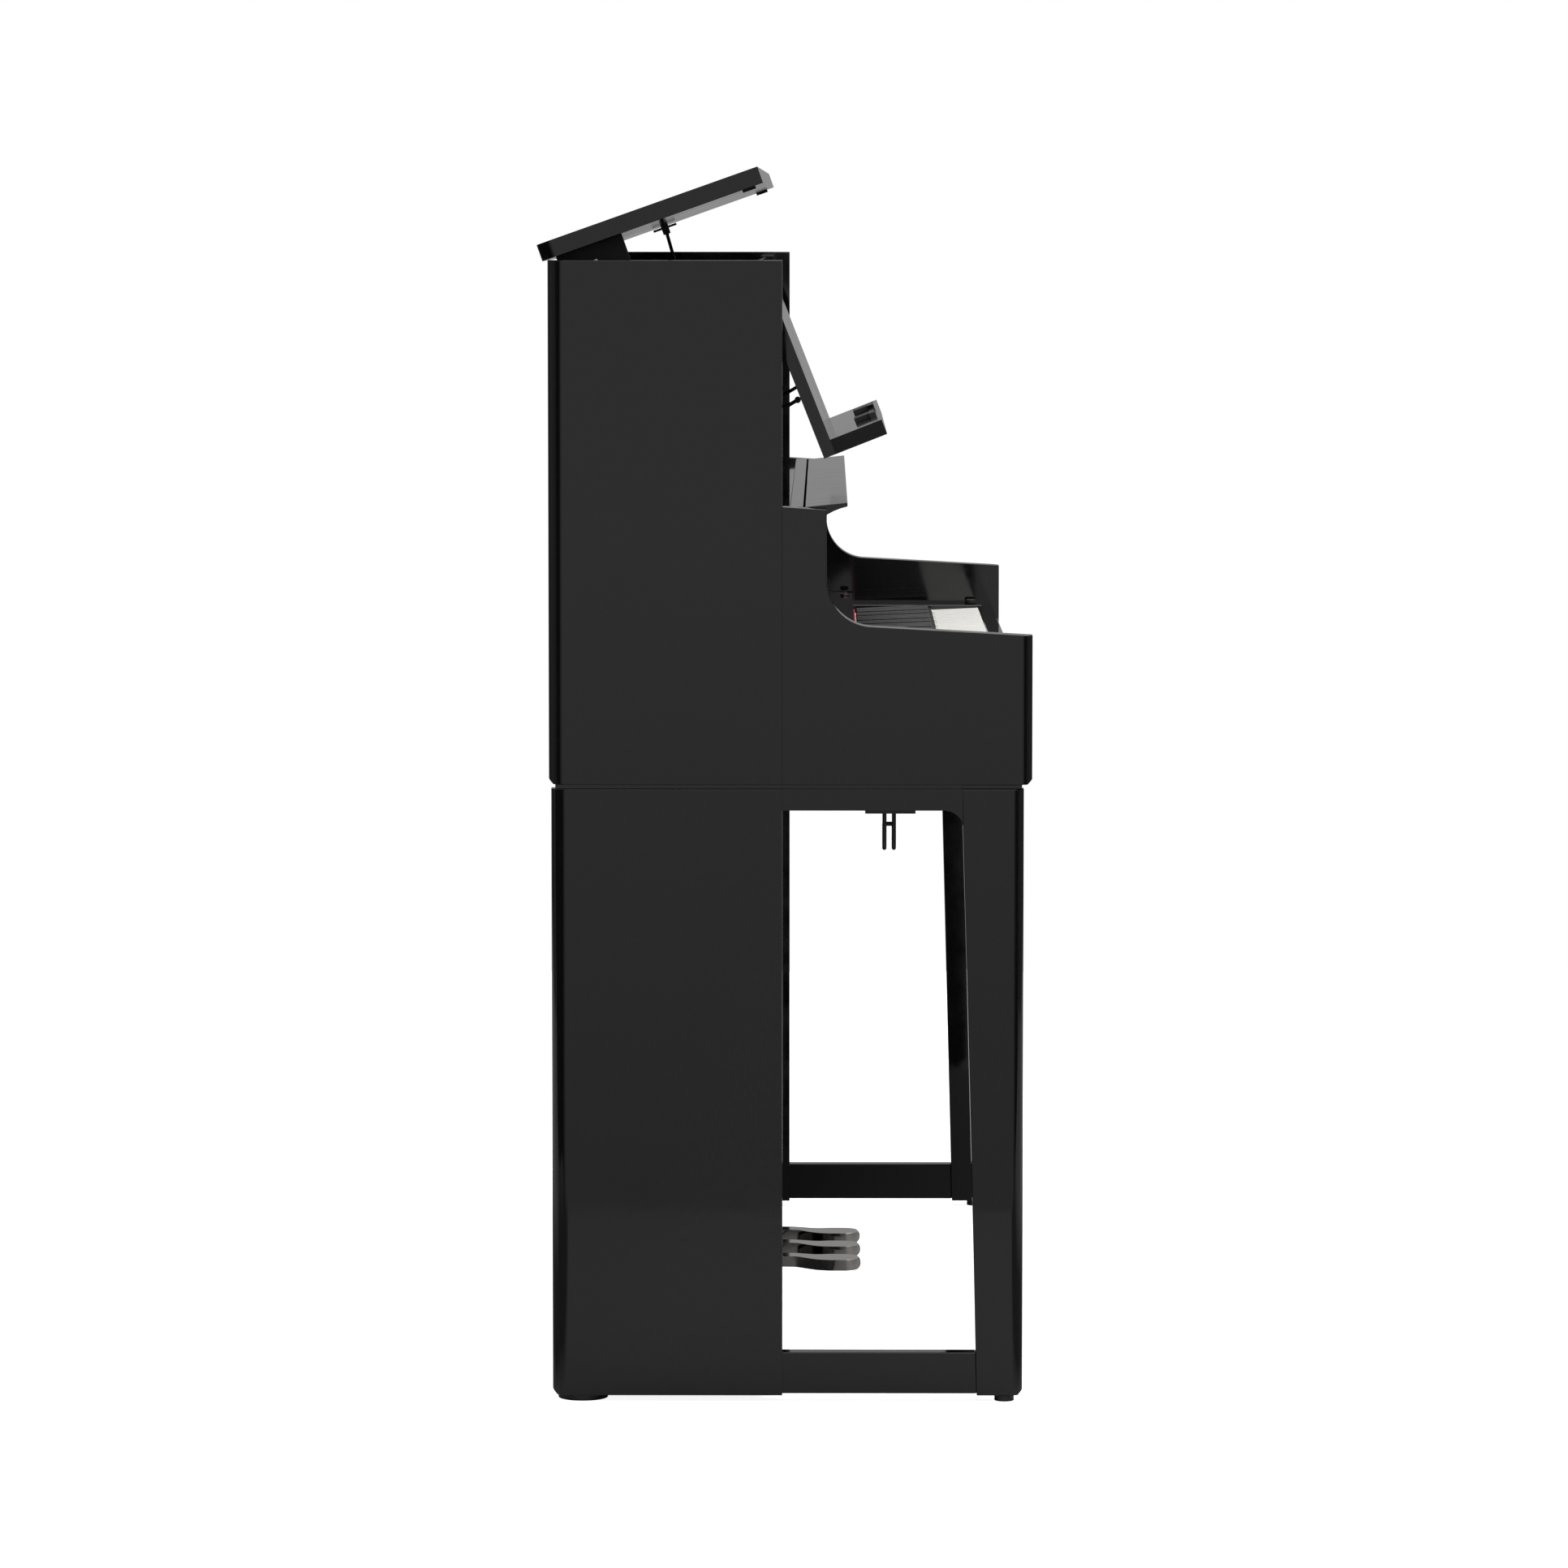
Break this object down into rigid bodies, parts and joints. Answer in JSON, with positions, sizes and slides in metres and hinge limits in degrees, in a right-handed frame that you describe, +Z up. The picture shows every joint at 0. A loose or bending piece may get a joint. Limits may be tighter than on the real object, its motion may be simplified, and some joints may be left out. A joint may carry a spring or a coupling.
{
  "type": "upright piano",
  "caption": "Black polished digital upright piano with propped top lid, tilting music rest, folding key cover, sprung keys and pedals, and front legs.",
  "frame": {"origin": "on the floor at mid width, on the plane of the case's front, within 3 mm of the middle of the bounding box's underside", "axes": "+X towards the treble side, +Y from the player to the back, +Z up"},
  "size_m": [1.38, 0.5012, 1.255],
  "materials": {
    "black_polyester": "polished black polyester over board",
    "black_board": "satin black",
    "key_frame_board": "plain plywood",
    "red_felt": "felt",
    "white_key": "satin ivory white",
    "black_key": "fine matte ebony black",
    "chrome": "polished plate",
    "black_plastic": "moulded",
    "rubber": "matte",
    "black_metal": "black paint",
    "steel": "zinc plated"
  },
  "bodies": {
    "case": {"upper_side_bass": "black_polyester", "upper_side_treble": "black_polyester", "cheek_bass": "black_polyester", "cheek_treble": "black_polyester", "keybed": "black_board", "key_slip": "black_polyester", "key_blocks": "black_polyester", "key_frame": "key_frame_board", "name_board": "black_polyester", "key_felt": "red_felt", "fallboard_rest_board": "black_polyester", "upper_front_board": "black_board", "speaker_grilles": "black_polyester", "speakers": "black_metal", "upper_back_panel": "black_board", "top_back_rail": "black_board", "power_inlet": "black_plastic", "electronics_box": "black_metal", "lower_side_bass": "black_polyester", "lower_side_treble": "black_polyester", "leg_bass": "black_polyester", "leg_treble": "black_polyester", "leg_braces": "black_polyester", "toe_rails": "black_polyester", "lower_front_panel": "black_polyester", "pedal_rail": "black_polyester", "bottom_board": "black_board", "lower_back_panel": "black_board", "feet": "black_plastic", "pedal_bracket": "steel", "fallboard_bumpers": "rubber", "lid_hinge_fixed": "black_metal", "lid_stay_guide": "black_metal", "headphone_hook": "black_metal", "jack_box": "black_plastic"},
    "lid": {"lid_board": "black_polyester", "lid_rail": "black_polyester", "lid_end_block": "black_plastic", "lid_hinge_moving": "black_metal", "lid_pads": "rubber", "lid_stay_plate": "black_metal"},
    "lid_stay": {"lid_stay_rod": "black_metal"},
    "music_rest": {"music_panel": "black_polyester", "music_ledge": "black_polyester"},
    "music_stays": {"music_stays": "black_metal"},
    "page_holder_bass": {"page_holder_bass": "black_plastic"},
    "page_holder_treble": {"page_holder_treble": "black_plastic"},
    "fallboard": {"fallboard_leaf": "black_polyester", "fallboard_arms": "black_metal"},
    "pedal_soft": {"pedal_soft": "chrome"},
    "pedal_sostenuto": {"pedal_sostenuto": "chrome"},
    "pedal_damper": {"pedal_damper": "chrome"},
    "power_button": {"power_button": "black_plastic"},
    "white_keys_bass": {"white_keys_bass": "white_key"},
    "white_keys_treble": {"white_keys_treble": "white_key"},
    "black_keys_bass": {"black_keys_bass": "black_key"},
    "black_keys_treble": {"black_keys_treble": "black_key"},
    "key_c": {"key_c": "white_key"},
    "key_c_sharp": {"key_c_sharp": "black_key"},
    "key_d": {"key_d": "white_key"}
  },
  "joints": [
    {"name": "lid_hinge", "type": "hinge", "parent": "case", "child": "lid", "pos_m": [0, 0.2264, 1.1462], "axis": [1, 0, 0], "range_deg": [0, 19.5]},
    {"name": "lid_stay_pivot", "type": "hinge", "parent": "lid", "child": "lid_stay", "pos_m": [0.44, 0.1433, 1.18624], "axis": [1, 0, 0], "range_deg": [-19.5, 0]},
    {"name": "music_rest_hinge", "type": "hinge", "parent": "case", "child": "music_rest", "pos_m": [0, 0.024, 1.1371], "axis": [1, 0, 0], "range_deg": [0, 21.5]},
    {"name": "music_stay_fold", "type": "hinge", "parent": "music_rest", "child": "music_stays", "pos_m": [0, -0.01394, 1.00996], "axis": [1, 0, 0], "range_deg": [-80.5, 0]},
    {"name": "page_holder_bass_flip", "type": "hinge", "parent": "music_rest", "child": "page_holder_bass", "pos_m": [-0.1425, -0.09532, 0.99107], "axis": [1, 0, 0], "range_deg": [0, 90]},
    {"name": "page_holder_treble_flip", "type": "hinge", "parent": "music_rest", "child": "page_holder_treble", "pos_m": [0.1425, -0.09532, 0.99107], "axis": [1, 0, 0], "range_deg": [0, 90]},
    {"name": "fallboard_hinge", "type": "hinge", "parent": "case", "child": "fallboard", "pos_m": [0, -0.066, 0.745], "axis": [1, 0, 0], "range_deg": [0, 90]},
    {"name": "pedal_soft_pivot", "type": "hinge", "parent": "case", "child": "pedal_soft", "pos_m": [-0.097, 0.14, 0.0533], "axis": [1, 0, 0], "range_deg": [0, 6.5], "stiffness_Nm_per_rad": 40, "springref_deg": -3.44},
    {"name": "pedal_sostenuto_pivot", "type": "hinge", "parent": "case", "child": "pedal_sostenuto", "pos_m": [0, 0.14, 0.0533], "axis": [1, 0, 0], "range_deg": [0, 6.5], "stiffness_Nm_per_rad": 40, "springref_deg": -3.44},
    {"name": "pedal_damper_pivot", "type": "hinge", "parent": "case", "child": "pedal_damper", "pos_m": [0.097, 0.14, 0.0533], "axis": [1, 0, 0], "range_deg": [0, 6.5], "stiffness_Nm_per_rad": 40, "springref_deg": -3.44},
    {"name": "power_button_press", "type": "slide", "parent": "case", "child": "power_button", "axis": [0, 0, -1], "range_m": [0, 0.0016], "stiffness_N_per_m": 300, "springref_m": -0.002},
    {"name": "white_keys_bass_press", "type": "hinge", "parent": "case", "child": "white_keys_bass", "pos_m": [0, -0.002, 0.712], "axis": [1, 0, 0], "range_deg": [0, 2.5], "stiffness_Nm_per_rad": 18.4, "springref_deg": -17.19},
    {"name": "white_keys_treble_press", "type": "hinge", "parent": "case", "child": "white_keys_treble", "pos_m": [0, -0.002, 0.712], "axis": [1, 0, 0], "range_deg": [0, 2.5], "stiffness_Nm_per_rad": 21.6, "springref_deg": -17.19},
    {"name": "black_keys_bass_press", "type": "hinge", "parent": "case", "child": "black_keys_bass", "pos_m": [0, -0.002, 0.712], "axis": [1, 0, 0], "range_deg": [0, 2.5], "stiffness_Nm_per_rad": 12.8, "springref_deg": -17.19},
    {"name": "black_keys_treble_press", "type": "hinge", "parent": "case", "child": "black_keys_treble", "pos_m": [0, -0.002, 0.712], "axis": [1, 0, 0], "range_deg": [0, 2.5], "stiffness_Nm_per_rad": 15.2, "springref_deg": -17.19},
    {"name": "key_c_press", "type": "hinge", "parent": "case", "child": "key_c", "pos_m": [0, -0.002, 0.712], "axis": [1, 0, 0], "range_deg": [0, 2.5], "stiffness_Nm_per_rad": 0.8, "springref_deg": -17.19},
    {"name": "key_c_sharp_press", "type": "hinge", "parent": "case", "child": "key_c_sharp", "pos_m": [0, -0.002, 0.712], "axis": [1, 0, 0], "range_deg": [0, 2.5], "stiffness_Nm_per_rad": 0.8, "springref_deg": -17.19},
    {"name": "key_d_press", "type": "hinge", "parent": "case", "child": "key_d", "pos_m": [0, -0.002, 0.712], "axis": [1, 0, 0], "range_deg": [0, 2.5], "stiffness_Nm_per_rad": 0.8, "springref_deg": -17.19}
  ],
  "couplings": [
    {"joint": "lid_stay_pivot", "follows": "lid_hinge", "ratio": -1},
    {"joint": "music_stay_fold", "follows": "music_rest_hinge", "ratio": -3.7442}
  ]
}
